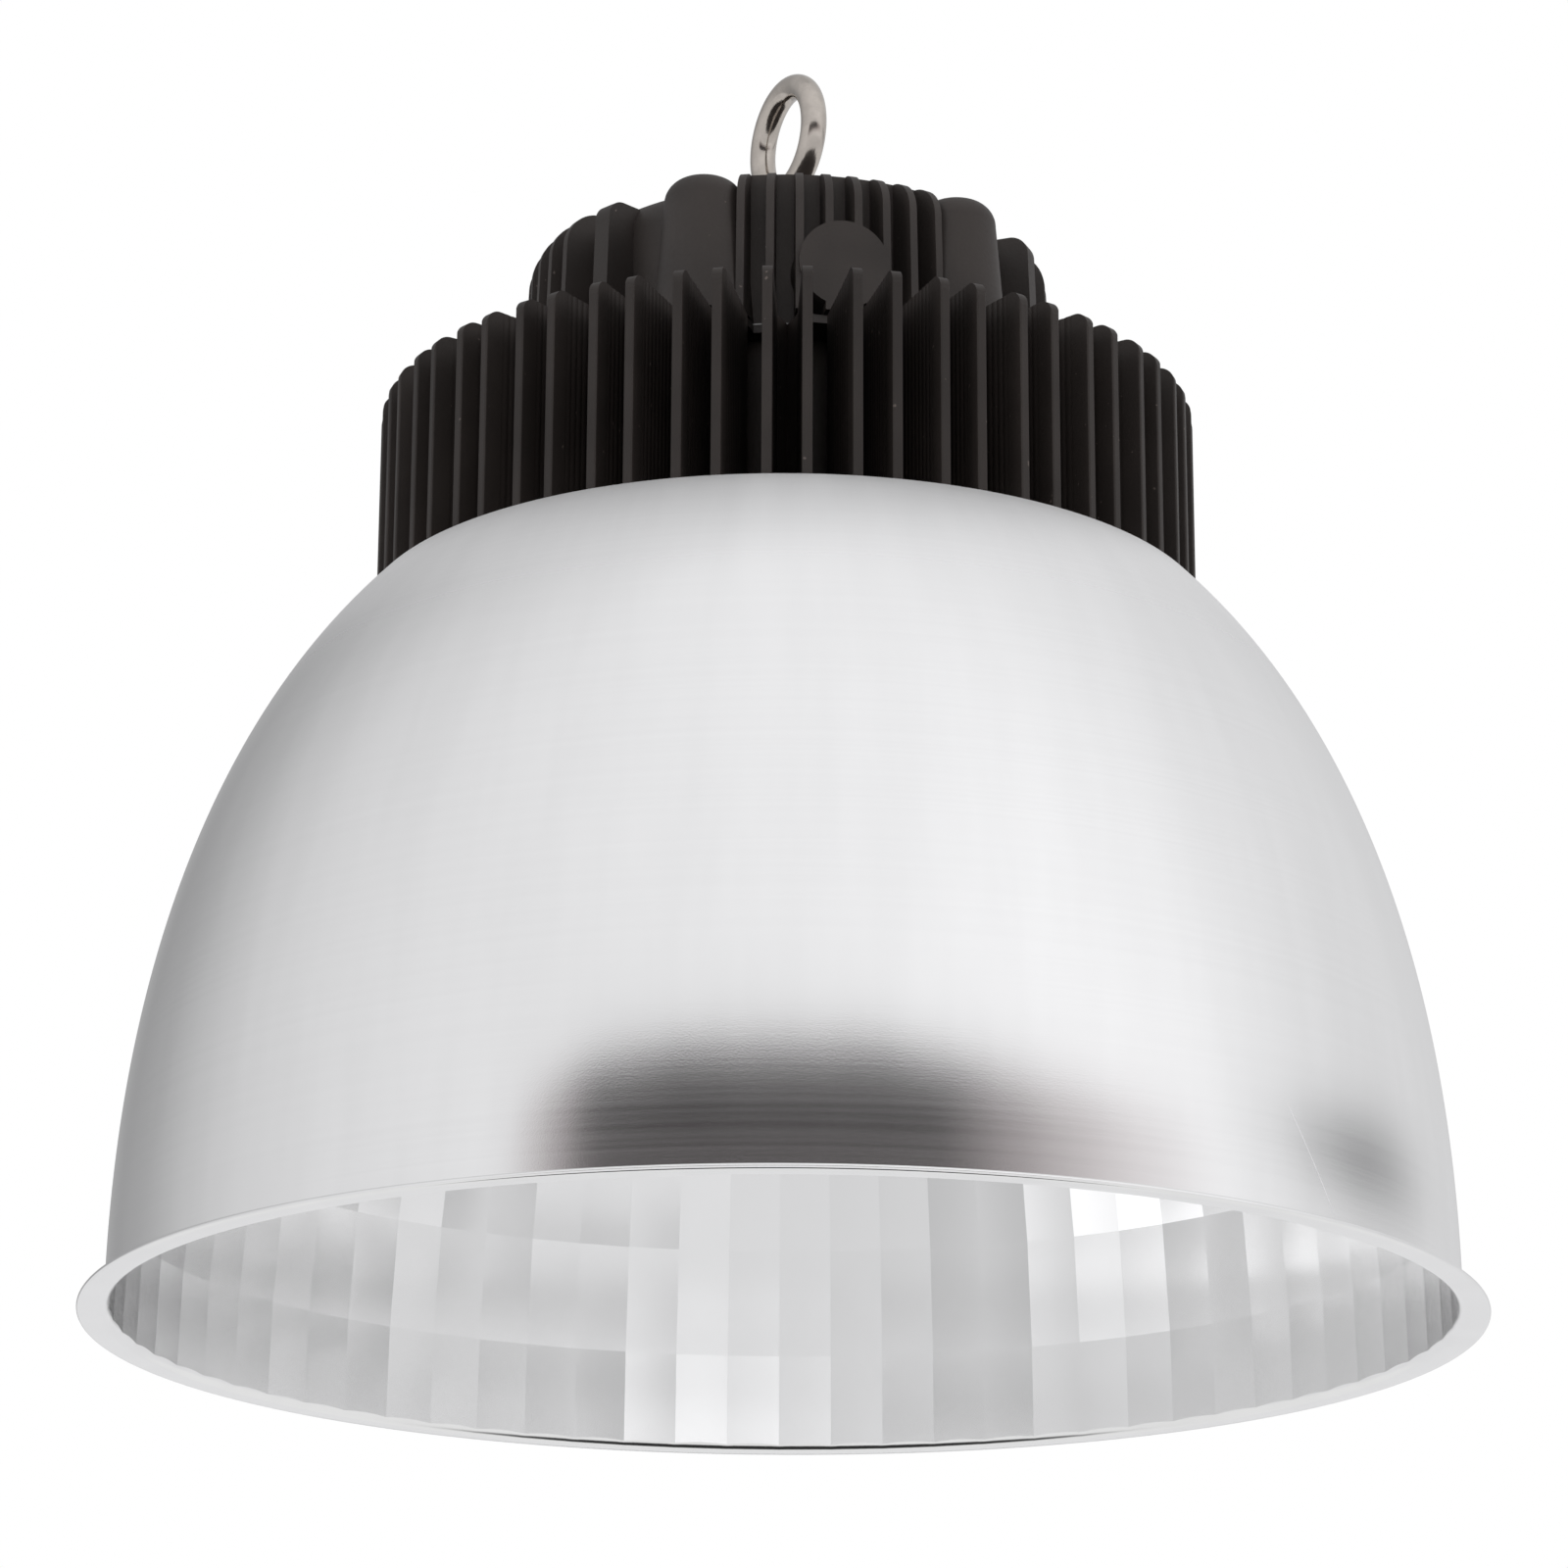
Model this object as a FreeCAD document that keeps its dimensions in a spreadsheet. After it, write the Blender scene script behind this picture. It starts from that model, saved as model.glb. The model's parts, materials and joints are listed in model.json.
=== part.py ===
import FreeCAD, Part
import math
import os
import re
import Sketcher

# High bay light: a faceted bell reflector under a finned heat sink, with the driver in a ribbed
# housing on top and a ring to hang it by. Millimetres, +Z up, the rim's lower face at z = 0 on the axis.

doc = FreeCAD.newDocument("high_bay_light")
sheet = doc.addObject("Spreadsheet::Sheet", "dims")

sizes = {
    # reflector
    "mouth_r": 197.2,
    "flange_width": 7.8,
    "crown_z": 219,
    "shoulder_step": 2.9,
    "shoulder_bend": 2.5,
    "dome_power_z": 2.17,
    "dome_power_r": 2.49,
    "dome_stations": 12,
    "sheet_wall": 1.5,
    "rim_bend": 1.5,
    "rim_bite": 0.3,
    "facet_bite": 0.1,
    "facet_count": 72,
    "facet_turn": 3.4,
    "facet_first": 31,
    "facet_rows": 6,
    "facet_lean": 0.13,
    # heat sink
    "fin_r": 124.5,
    "fin_height": 66,
    "fin_thick": 3,
    "fin_pairs": 30,
    "fin_corner": 5,
    "core_edge": 1,
    "stem_thick": 3,
    "stem_reach": 9,
    "elbow_reach": 11,
    "elbow_half": 4.4,
    "tip_half": 5.78,
    # light source behind the glass
    "emitter_r": 15,
    "emitter_thick": 0.8,
    "led_edge": 4,
    "pad_thick": 0.3,
    "substrate_thick": 1.5,
    "holder_edge": 4,
    "holder_lip": 3.2,
    "holder_socket": 1,
    "holder_socket_width": 12,
    "holder_screw_step": 6,
    "window_gap": 2,
    "chamber_depth": 9,
    "spacer_wall": 3,
    "lens_thick": 4,
    "lens_gasket_thick": 1,
    "lens_gasket_width": 4,
    "clamp_wall": 3,
    "clamp_lip": 2,
    "clamp_lip_width": 4.5,
    "clamp_flange_thick": 2,
    "clamp_screw_step": 6,
    "clamp_screw_count": 6,
    # wiring through the core
    "wire_hole_r": 4.5,
    "wire_hole_edge": 2,
    "lead_r": 1.2,
    "lead_half": 2,
    "lead_bend": 5,
    "lead_run": 3,
    "lead_rise": 14,
    "bush_wall": 1.5,
    "bush_flange": 1.5,
    # driver base plate and housing
    "plate_edge": 1,
    "plate_thick": 2.5,
    "plate_screw_step": 5.5,
    "plate_screw_count": 6,
    "tongue_inset": 2.5,
    "gasket_thick": 0.8,
    "wall_thick": 4.5,
    "wall_corner": 10,
    "rib_reach": 11.5,
    "housing_top": 4,
    "housing_draft": 1.8,
    "housing_corner": 12,
    "rib_thin": 2.4,
    "rib_thick": 6,
    "rib_root": 3,
    "entry_rib_count": 8,
    "entry_rib_pitch": 6.3,
    "side_rib_count": 7,
    "side_rib_pitch": 7,
    "thick_rib_angle": 56,
    "thick_rib_corner": 6,
    "thick_rib_drop": 3.2,
    "lobe_r": 15,
    "lobe_draft": 4.5,
    "lobe_corner": 7.5,
    "lobe_drop": 2.2,
    "lobe_wall": 3.1,
    "lobe_angle": 32,
    "lobe_bore_depth": 6,
    "boss_r": 13.7,
    "boss_rise": 1.5,
    "boss_inset": 0.5,
    "crown_boss_r": 13,
    "crown_boss_h": 4,
    # hanging eye
    "eye_wire_r": 4,
    "eye_ring_r": 17,
    "eye_centre": 43,
    "eye_turn": 16,
    "eye_tail": 14,
    "nut_flats": 13,
    "nut_h": 6.5,
    "washer_r": 8,
    "washer_thick": 1.6,
    # cable gland
    "gland_thread_r": 8,
    "gland_thread_length": 14,
    "gland_flats": 22,
    "gland_flange": 5,
    "gland_neck_r": 8.5,
    "gland_neck": 10,
    "gland_seal_wall": 1.5,
    "gland_bore_r": 5,
    "gland_cap_r": 10.5,
    "gland_cap_end": 3,
    "cable_r": 4,
    # driver and terminals
    "driver_x": 72,
    "driver_y": 56,
    "driver_z": 28,
    "driver_off_y": -12,
    "driver_lead_run": 5,
    "driver_clearance": 6,
    "driver_headroom": 2.8,
    "driver_edge": 3,
    "ear_width": 14,
    "ear_reach": 9,
    "ear_thick": 3,
    "terminal_x": 36,
    "terminal_y": 13,
    "terminal_z": 14,
    "terminal_off_x": -6,
    "terminal_gap": 12.5,
    "terminal_ways": 3,
    "terminal_way_r": 2.2,
    "terminal_screw_half": 15,
    # fasteners: shank radius, head radius and head height of each size
    "screw_small": 1.5,
    "screw_small_head": 2.8,
    "screw_small_head_h": 1.8,
    "screw_mid": 2,
    "screw_mid_head": 3.6,
    "screw_mid_head_h": 2.4,
    "screw_big": 2.5,
    "screw_big_head": 4.2,
    "screw_big_head_h": 4,
    "head_crown": 0.7,
    "thread_bite": 9,
    "small_bite": 6,
    # clearances
    "thread_gap": 0.05,
    "hole_gap": 0.25,
    "slip_gap": 0.5,
}

# radii, places and heights that follow from the sizes above
derived = {
    "led_side": "(emitter_r + led_edge) * 2",
    "holder_window": "emitter_r + window_gap",
    "holder_screw_r": "led_side / 2 + holder_screw_step",
    "holder_r": "holder_screw_r + holder_edge",
    "holder_flat": "holder_r + holder_socket",
    "wire_hole_x": "holder_flat + lead_run + lead_bend",
    "lens_r": "wire_hole_x + wire_hole_r + wire_hole_edge + spacer_wall",
    "clamp_r": "lens_r + slip_gap + clamp_wall",
    "clamp_screw_circle": "clamp_r + clamp_screw_step",
    "clamp_flange_r": "clamp_screw_circle + clamp_screw_step",
    "driver_off_x": "wire_hole_x - lead_bend - driver_lead_run - driver_x / 2",
    "driver_reach": "sqrt((driver_x / 2 - driver_off_x)^2 + (driver_y / 2 - driver_off_y)^2)",
    "terminal_off_y": "driver_off_y + driver_y / 2 + ear_reach + terminal_gap + terminal_y / 2",
    "cavity_r": "driver_reach + driver_clearance",
    "plate_screw_circle": "cavity_r - plate_screw_step",
    "core_r": "max(clamp_flange_r; plate_screw_circle + screw_mid) + core_edge",
    "fork_r": "core_r + stem_reach",
    "elbow_r": "fork_r + elbow_reach",
    "rim_r": "mouth_r + flange_width",
    "shoulder_r": "fin_r + shoulder_step",
    "wall_r": "cavity_r + wall_thick",
    "plate_r": "wall_r + plate_edge",
    "lobe_circle": "cavity_r + lobe_wall + screw_big_head + hole_gap",
    "rib_r": "wall_r + rib_reach",
    "boss_face": "rib_r - boss_inset",
    "tongue_reach": "boss_face - tongue_inset",
    "dome_pole": "crown_z / (1 - (shoulder_r / mouth_r)^dome_power_r)^(1 / dome_power_z)",
    "crown_in": "crown_z - sheet_wall",
    "sink_top": "crown_z + fin_height",
    "plate_top": "sink_top + plate_thick",
    "housing_base": "plate_top + gasket_thick",
    "cavity_top": "plate_top + driver_z + driver_headroom + eye_tail",
    "housing_z": "cavity_top + housing_top",
    "housing_h": "housing_z - housing_base",
    "lobe_seat": "housing_z - lobe_drop - lobe_bore_depth",
    "eye_seat": "housing_z + crown_boss_h",
    "eye_z": "housing_z + eye_centre",
    "lens_top": "crown_z - chamber_depth",
    "gasket_top": "lens_top - lens_thick",
    "lip_top": "gasket_top - lens_gasket_thick",
    "clamp_bottom": "lip_top - clamp_lip",
    "clamp_seat": "crown_in - clamp_flange_thick",
    "substrate_top": "crown_z - pad_thick",
    "emitter_top": "substrate_top - substrate_thick",
    "holder_bottom": "emitter_top - holder_lip",
    "boss_z": "housing_base + boss_r + boss_rise",
    "gland_seat": "boss_face + gland_flange",
    "gland_seal_r": "gland_neck_r - gland_seal_wall",
}


def formula(text):
    # spell each size's name with its sheet
    return re.sub(r"[a-z_]\w*", lambda word: sheet_names.get(word.group(), word.group()), text)


def value(text):
    return float(sheet.evalExpression(formula(text)))


def bind(thing, field, text):
    thing.setExpression(field, formula(text))


sheet_names = {name: "dims." + name for name in [*sizes, *derived]}
for row, (name, content) in enumerate([*sizes.items(), *derived.items()], start=1):
    sheet.set(f"A{row}", name)
    sheet.set(f"B{row}", "=" + content if name in derived else str(content))
    sheet.setAlias(f"B{row}", name)
doc.recompute()

nodes = {}


def node(thing, name):
    thing.Label = name
    nodes[name] = thing
    return thing


def placed(thing, x="0", y="0", z="0"):
    for axis, text in zip("xyz", (x, y, z)):
        bind(thing, f"Placement.Base.{axis}", text)
    return thing


def cylinder(radius, height, z, x="0", y="0"):
    thing = doc.addObject("Part::Cylinder", "cylinder")
    bind(thing, "Radius", radius)
    bind(thing, "Height", height)
    return placed(thing, x, y, z)


def block(length, width, height, x, y, z):
    thing = doc.addObject("Part::Box", "block")
    for field, text in (("Length", length), ("Width", width), ("Height", height)):
        bind(thing, field, text)
    return placed(thing, x, y, z)


def hexagon(flats, height, z):
    thing = doc.addObject("Part::Prism", "hexagon")
    thing.Polygon = 6
    bind(thing, "Circumradius", f"{flats} / 2 / cos(30)")
    bind(thing, "Height", height)
    return placed(thing, z=z)


def fuse(*things):
    thing = doc.addObject("Part::MultiFuse", "fuse")
    thing.Shapes = list(things)
    return thing


def cut(base, *tools):
    thing = doc.addObject("Part::Cut", "cut")
    thing.Base = base
    thing.Tool = tools[0] if len(tools) == 1 else fuse(*tools)
    return thing


def ring(outer, inner, height, z):
    return cut(cylinder(outer, height, z), cylinder(inner, height, z))


def on_circle(radius, angle):
    # x and y of a point on a circle about the axis, as formulas
    return f"{radius} * cos({angle})", f"{radius} * sin({angle})"


def holes(count, circle, first, radius, depth, z):
    spots = [on_circle(circle, f"{first} + 360 / {count} * {i}") for i in range(int(value(count)))]
    return [cylinder(radius, depth, z, x, y) for x, y in spots]


def along_y(thing):
    thing.Placement.Rotation = FreeCAD.Rotation(FreeCAD.Vector(1, 0, 0), -90)
    return thing


def plane(body, role):
    return next(item for item in body.Origin.OriginFeatures if item.Role == role)


def outline(body, role, corners, arcs=None, shift="0"):
    # closed sketch through corners given as formulas; arcs maps a side to its radius and its bulge,
    # +1 to the left of the way it runs and -1 to the right
    arcs = arcs or {}
    sketch = body.newObject("Sketcher::SketchObject", "outline")
    sketch.AttachmentSupport = [(plane(body, role), "")]
    sketch.MapMode = "FlatFace"
    bind(sketch, "AttachmentOffset.Base.x", shift)
    points = [FreeCAD.Vector(value(x), value(y), 0) for x, y in corners]
    for side, start in enumerate(points):
        end = points[(side + 1) % len(points)]
        if side in arcs:
            radius, bulge = value(arcs[side][0]), arcs[side][1]
            half = (end - start) / 2
            rise = radius - math.sqrt(radius**2 - half.Length**2)
            left = FreeCAD.Vector(-half.y, half.x, 0).normalize()
            sketch.addGeometry(Part.Arc(start, start + half + left * rise * bulge, end))
        else:
            sketch.addGeometry(Part.LineSegment(start, end))
    for side, (x, y) in enumerate(corners):
        # an arc is stored counter-clockwise, so one that bulges left starts at its far end
        begin, finish = (2, 1) if arcs.get(side, (0, 0))[1] > 0 else (1, 2)
        after = (side + 1) % len(corners)
        meet = 2 if arcs.get(after, (0, 0))[1] > 0 else 1
        sketch.addConstraint(Sketcher.Constraint("Coincident", side, finish, after, meet))
        for kind, text, axis in (("DistanceX", x, -2), ("DistanceY", y, -1)):
            if text == "0":
                sketch.addConstraint(Sketcher.Constraint("PointOnObject", side, begin, axis))
            else:
                rule = Sketcher.Constraint(kind, -1, 1, side, begin, value(text))
                bind(sketch, f"Constraints[{sketch.addConstraint(rule)}]", text)
        if side in arcs:
            rule = Sketcher.Constraint("Radius", side, value(arcs[side][0]))
            bind(sketch, f"Constraints[{sketch.addConstraint(rule)}]", arcs[side][0])
    return sketch


def revolve(body, corners, arcs=None, shift="0", kind="PartDesign::Revolution"):
    sketch = outline(body, "XZ_Plane", corners, arcs, shift)
    turned = body.newObject(kind, "turned")
    turned.Profile = sketch
    turned.ReferenceAxis = (sketch, ["V_Axis"])
    turned.Angle = 360
    return turned


def turned_body(corners, arcs=None):
    body = doc.addObject("PartDesign::Body", "turned_body")
    revolve(body, corners, arcs)
    return body


def pad(body, sketch, height):
    padded = body.newObject("PartDesign::Pad", "padded")
    padded.Profile = sketch
    bind(padded, "Length", height)
    return padded


def polar(body, feature, count):
    doc.recompute()
    pattern = body.newObject("PartDesign::PolarPattern", "pattern")
    pattern.Originals = [feature]
    pattern.Axis = (plane(body, "Z_Axis"), [""])
    pattern.Angle = 360
    bind(pattern, "Occurrences", count)
    body.Tip = pattern
    return pattern


def screws(name, count, circle, first, seat, length, kind, up):
    # a ring of pan head screws: heads at the seat, shanks running up or down from it
    body = doc.addObject("PartDesign::Body", name)
    body.AllowCompound = True
    way = "" if up else "-"
    back = "-" if up else ""
    end, top, rim = f"{way}({length})", f"{back}{kind}_head_h", f"{back}{kind}_head_h / 2"
    corners = [("0", end), (kind, end), (kind, "0"), (f"{kind}_head", "0"),
               (f"{kind}_head", rim), (f"{kind}_head * head_crown", top), ("0", top)]
    screw = revolve(body, corners, shift=circle)
    polar(body, screw, count)
    bind(body, "Placement.Base.z", seat)
    body.Placement.Rotation = FreeCAD.Rotation(FreeCAD.Vector(0, 0, 1), value(first))
    return node(body, name)


def dome_r(z):
    # outer radius of the bell at a height: a superellipse from the mouth to the shoulder
    return f"mouth_r * (1 - (({z}) / dome_pole)^dome_power_z)^(1 / dome_power_r)"


def make_reflector():
    last = int(value("dome_stations"))
    sections = []
    for i in range(last + 1):
        height = f"crown_z * {i} / dome_stations"
        section = doc.addObject("Part::Circle", "section")
        bind(section, "Radius", dome_r(height))
        sections.append(placed(section, z=height))
    dome = doc.addObject("Part::Fillet", "dome")
    dome.Base = loft(sections, ruled=False)
    doc.recompute()
    edge_feet = [edge.BoundBox.ZMin for edge in dome.Base.Shape.Edges]
    top_edge = edge_feet.index(max(edge_feet)) + 1
    dome.Edges = [(top_edge, value("shoulder_bend"), value("shoulder_bend"))]
    # flat facets inside: many-sided sections joined by straight walls
    rows = int(value("facet_rows"))
    heights = ["0"]
    for i in range(rows):
        share = f"{i} / facet_rows"
        heights.append(f"facet_first + (crown_in - facet_first) * {share} * (1 + facet_lean * (1 - {share}))")
    heights.append("crown_in")
    sections = [facet_section(height, height) for height in heights]
    sections.insert(0, facet_section("-rim_bend", "0"))
    cavity = loft(sections, ruled=True)
    mouth_in = "(mouth_r - sheet_wall) * cos(180 / facet_count) - facet_bite"
    lip = "(rim_bend + sheet_wall)"
    edge = f"{mouth_in} + {lip}"
    rim = turned_body([("mouth_r - sheet_wall", "0"), ("rim_r", "0"), ("rim_r", "sheet_wall"),
                       ("mouth_r + rim_bend - rim_bite", "sheet_wall"),
                       ("mouth_r - rim_bite", lip), ("mouth_r - sheet_wall", lip)],
                      {3: ("rim_bend", -1)})
    bell = turned_body([("0", "-rim_bend"), (edge, "-rim_bend"), (edge, "0"), (mouth_in, lip), ("0", lip)],
                       {2: (lip, -1)})
    top_hole = cylinder("clamp_r + slip_gap", "sheet_wall * 3", "crown_z - sheet_wall * 2")
    screw_holes = holes("clamp_screw_count", "clamp_screw_circle", "0", "screw_mid + hole_gap",
                        "sheet_wall * 3", "crown_z - sheet_wall * 2")
    node(cut(fuse(dome, rim), cavity, bell, top_hole, *screw_holes), "reflector")


def loft(sections, ruled):
    thing = doc.addObject("Part::Loft", "loft")
    thing.Sections = sections
    thing.Solid = True
    thing.Ruled = ruled
    return thing


def facet_section(z, measured_at):
    section = doc.addObject("Part::RegularPolygon", "facets")
    bind(section, "Polygon", "facet_count")
    bind(section, "Circumradius", f"{dome_r(measured_at)} - sheet_wall")
    section.Placement.Rotation = FreeCAD.Rotation(FreeCAD.Vector(0, 0, 1), value("facet_turn"))
    return placed(section, z=z)


def make_heat_sink():
    # one extrusion: a solid core with forked fins all round, its outer top corner turned off
    body = doc.addObject("PartDesign::Body", "extrusion")
    core = body.newObject("Sketcher::SketchObject", "core")
    core.AttachmentSupport = [(plane(body, "XY_Plane"), "")]
    core.MapMode = "FlatFace"
    core.addGeometry(Part.Circle(FreeCAD.Vector(0, 0, 0), FreeCAD.Vector(0, 0, 1), value("core_r")))
    core.addConstraint(Sketcher.Constraint("Coincident", 0, 3, -1, 1))
    size = core.addConstraint(Sketcher.Constraint("Radius", 0, value("core_r")))
    bind(core, f"Constraints[{size}]", "core_r")
    pad(body, core, "fin_height")
    half, root = "stem_thick / 2", "core_r - stem_thick"
    slope = "(elbow_half + fin_thick / 2 - stem_thick / 2) / (elbow_r - fork_r)"
    crotch = f"elbow_r - (elbow_half - fin_thick / 2) / ({slope})"
    right = [("elbow_half + fin_thick / 2", "elbow_r"), ("tip_half + fin_thick / 2", "fin_r"),
             ("tip_half - fin_thick / 2", "fin_r"), ("elbow_half - fin_thick / 2", "elbow_r")]
    left = [(f"-({x})", y) for x, y in reversed(right)]
    corners = [(f"-{half}", root), (half, root), (half, "fork_r"), *right, ("0", crotch), *left,
               (f"-{half}", "fork_r")]
    fork = pad(body, outline(body, "XY_Plane", corners), "fin_height")
    polar(body, fork, "fin_pairs")
    spare = "fin_r + fin_corner"
    revolve(body, [("fin_r - fin_corner", "fin_height"), ("fin_r", "fin_height - fin_corner"),
                   (spare, "fin_height - fin_corner"), (spare, "fin_height + fin_corner"),
                   ("fin_r - fin_corner", "fin_height + fin_corner")],
            {0: ("fin_corner", 1)}, kind="PartDesign::Groove")
    bind(body, "Placement.Base.z", "crown_z")
    tapped, deep, small = "screw_mid + thread_gap", "thread_bite + slip_gap", "screw_small + thread_gap"
    tapped_holes = holes("clamp_screw_count", "clamp_screw_circle", "0", tapped, deep, "crown_z")
    tapped_holes += holes("plate_screw_count", "plate_screw_circle", "0", tapped, deep,
                          f"sink_top - ({deep})")
    tapped_holes += holes("2", "holder_screw_r", "90", small, "small_bite + slip_gap", "crown_z")
    wires = cylinder("wire_hole_r", "fin_height", "crown_z", "wire_hole_x")
    node(cut(body, *tapped_holes, wires), "heat_sink")


def square_plate(side, height, z):
    return block(side, side, height, f"-{side} / 2", f"-{side} / 2", z)


def make_light_source():
    node(square_plate("led_side", "pad_thick", "substrate_top"), "thermal_pad")
    node(square_plate("led_side", "substrate_thick", "emitter_top"), "led_substrate")
    node(cylinder("emitter_r", "emitter_thick", "emitter_top - emitter_thick"), "led_emitter")
    height = "crown_z - holder_bottom"
    socket = block("holder_flat", "holder_socket_width", height, "0", "-holder_socket_width / 2",
                   "holder_bottom")
    pocket = square_plate("(led_side + slip_gap)", "crown_z - emitter_top", "emitter_top")
    window = cylinder("holder_window", height, "holder_bottom")
    screw_holes = holes("2", "holder_screw_r", "90", "screw_small + hole_gap", height, "holder_bottom")
    frame = fuse(cylinder("holder_r", height, "holder_bottom"), socket)
    node(cut(frame, pocket, window, *screw_holes), "led_holder")
    screws("led_holder_screws", "2", "holder_screw_r", "90", "holder_bottom", f"{height} + small_bite",
           "screw_small", True)
    node(ring("lens_r", "lens_r - spacer_wall", "chamber_depth", "lens_top"), "lens_spacer")
    node(cylinder("lens_r", "lens_thick", "gasket_top"), "lens_glass")
    node(ring("lens_r", "lens_r - lens_gasket_width", "lens_gasket_thick", "lip_top"), "lens_gasket")
    inner = "lens_r + slip_gap"
    lip = f"{inner} - clamp_lip_width"
    clamp = turned_body([(lip, "clamp_bottom"), ("clamp_r", "clamp_bottom"), ("clamp_r", "clamp_seat"),
                         ("clamp_flange_r", "clamp_seat"), ("clamp_flange_r", "crown_in"),
                         ("clamp_r", "crown_in"), ("clamp_r", "crown_z"), (inner, "crown_z"),
                         (inner, "lip_top"), (lip, "lip_top")])
    node(cut(clamp, *holes("clamp_screw_count", "clamp_screw_circle", "0", "screw_mid + hole_gap",
                           "clamp_flange_thick", "clamp_seat")), "clamp_ring")
    screws("clamp_screws", "clamp_screw_count", "clamp_screw_circle", "0", "clamp_seat",
           "crown_z - clamp_seat + thread_bite", "screw_mid", True)


def make_leads():
    # each lead leaves the holder, turns up through the core and turns back to the driver's side
    start, turn = value("holder_flat"), value("wire_hole_x")
    low, high = value("holder_bottom + holder_lip"), value("plate_top + lead_rise")
    finish, bend, radius = value("driver_off_x + driver_x / 2"), value("lead_bend"), value("lead_r")
    for name, side in (("led_lead_positive", 1), ("led_lead_negative", -1)):
        y = side * value("lead_half")
        corner = bend * (1 - math.sqrt(0.5))
        spots = [(start, low), (turn - bend, low), (turn - corner, low + corner), (turn, low + bend),
                 (turn, high - bend), (turn - corner, high - corner), (turn - bend, high), (finish, high)]
        a, b, c, d, e, f, g, h = [FreeCAD.Vector(x, y, z) for x, z in spots]
        path = Part.Wire([Part.LineSegment(a, b).toShape(), Part.Arc(b, c, d).toShape(),
                          Part.LineSegment(d, e).toShape(), Part.Arc(e, f, g).toShape(),
                          Part.LineSegment(g, h).toShape()])
        section = Part.Wire(Part.makeCircle(radius, a, FreeCAD.Vector(1, 0, 0)))
        lead = doc.addObject("Part::Feature", name)
        lead.Shape = path.makePipeShell([section], True, False)
        node(lead, name)


def make_base_plate():
    disc = cylinder("plate_r", "plate_thick", "sink_top")
    tongue = block("boss_r * 2", "tongue_reach * 2", "plate_thick", "-boss_r", "-tongue_reach", "sink_top")
    ears = [cylinder("lobe_r", "plate_thick", "sink_top", x, y) for x, y in lobe_spots()]
    bush_r = "wire_hole_r + bush_wall"
    drilled = [("wire_hole_x", "0", bush_r)]
    drilled += [(x, y, "screw_big + thread_gap") for x, y in lobe_spots()]
    drilled += [(x, y, "screw_mid + thread_gap") for x, y in [*ear_spots(), earth_spot()]]
    drilled += [(x, y, "screw_small + thread_gap") for x, y in terminal_spots()]
    tools = [cylinder(radius, "plate_thick", "sink_top", x, y) for x, y, radius in drilled]
    tools += holes("plate_screw_count", "plate_screw_circle", "0", "screw_mid + hole_gap", "plate_thick",
                   "sink_top")
    node(cut(fuse(disc, tongue, *ears), *tools), "driver_base_plate")
    screws("base_plate_screws", "plate_screw_count", "plate_screw_circle", "0", "plate_top",
           "plate_thick + thread_bite", "screw_mid", False)
    collar = cylinder(f"{bush_r} + bush_wall", "bush_flange", "plate_top", "wire_hole_x")
    sleeve = cylinder(bush_r, "plate_thick", "sink_top", "wire_hole_x")
    passage = cylinder("lead_half + lead_r + hole_gap", "plate_thick + bush_flange", "sink_top",
                       "wire_hole_x")
    node(cut(fuse(collar, sleeve), passage), "wire_bush")


def lobe_spots():
    angles = ("90 - lobe_angle", "90 + lobe_angle", "270 - lobe_angle", "270 + lobe_angle")
    return [on_circle("lobe_circle", angle) for angle in angles]


def ear_spots():
    reach = "driver_y / 2 + ear_reach / 2"
    return [("driver_off_x", f"driver_off_y + {reach}"), ("driver_off_x", f"driver_off_y - ({reach})")]


def earth_spot():
    return on_circle("plate_screw_circle", "180 / plate_screw_count")


def terminal_spots():
    return [(f"terminal_off_x + {side} * terminal_screw_half", "terminal_off_y") for side in (-1, 1)]


def rib(angle, thick):
    # upright web from the flat of the top out past the rib tips, which the envelope then trims
    root = "wall_r - wall_corner"
    web = block("rib_r - wall_r + wall_corner + rib_root", thick, "housing_h",
                f"({root}) * cos({angle}) + {thick} / 2 * sin({angle})",
                f"({root}) * sin({angle}) - {thick} / 2 * cos({angle})", "housing_base")
    web.Placement.Rotation = FreeCAD.Rotation(FreeCAD.Vector(0, 0, 1), value(angle))
    return web


def rib_fan(middle, count, pitch):
    last = int(value(count)) - 1
    return [rib(f"{middle} + ({i} - {last} / 2) * {pitch}", "rib_thin") for i in range(last + 1)]


def rounded_post(radius, draft, corner, drop="0"):
    # round post up to the housing's top or a drop below it, leaning in by its draft, its top edge turned over
    top, edge = f"(housing_z - {drop})", f"(housing_z - {drop} - {corner})"
    top_r = f"{radius} - ({edge} - housing_base) * tan({draft})"
    return turned_body([("0", "housing_base"), (radius, "housing_base"), (top_r, edge),
                        (f"{top_r} - {corner}", top), ("0", top)], {2: (corner, -1)})


def common(base, tool):
    thing = doc.addObject("Part::Common", "common")
    thing.Base = base
    thing.Tool = tool
    return thing


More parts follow.
